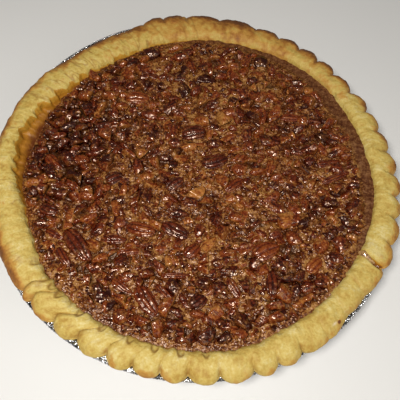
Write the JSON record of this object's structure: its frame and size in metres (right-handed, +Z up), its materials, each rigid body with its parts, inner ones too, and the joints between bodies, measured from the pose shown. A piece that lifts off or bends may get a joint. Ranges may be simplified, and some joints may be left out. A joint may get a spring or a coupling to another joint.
{
  "type": "pecan pie",
  "caption": "Round baked pecan pie in its foil tin: pinched pastry crust, glossy custard filling covered in chopped pecans and pecan halves.",
  "frame": {"origin": "middle of the pie on the surface it stands on, under the tin's base", "axes": "+Z up out of the filling, +X to the right and +Y away from the side with the deepest pleats"},
  "size_m": [0.2448, 0.2462, 0.0426],
  "materials": {
    "foil": "bright pressed foil",
    "pastry": "baked pastry, matte with browned edges",
    "filling": "glossy set custard with chopped nuts",
    "pecan": "glazed nut"
  },
  "bodies": {
    "root": {"foil_tin": "foil", "crust": "pastry", "filling": "filling", "pecan_half_01": "pecan", "pecan_half_02": "pecan", "pecan_half_03": "pecan", "pecan_half_04": "pecan", "pecan_half_05": "pecan", "pecan_half_06": "pecan", "pecan_half_07": "pecan", "pecan_half_08": "pecan", "pecan_half_09": "pecan", "pecan_half_10": "pecan", "pecan_half_11": "pecan", "pecan_half_12": "pecan", "pecan_half_13": "pecan", "pecan_half_14": "pecan", "pecan_half_15": "pecan", "pecan_half_16": "pecan", "pecan_half_17": "pecan", "pecan_half_18": "pecan", "pecan_half_19": "pecan", "pecan_half_20": "pecan", "pecan_half_21": "pecan", "pecan_half_22": "pecan", "pecan_half_23": "pecan", "pecan_half_24": "pecan", "pecan_half_25": "pecan", "pecan_half_26": "pecan", "pecan_half_27": "pecan", "pecan_half_28": "pecan"}
  },
  "joints": []
}
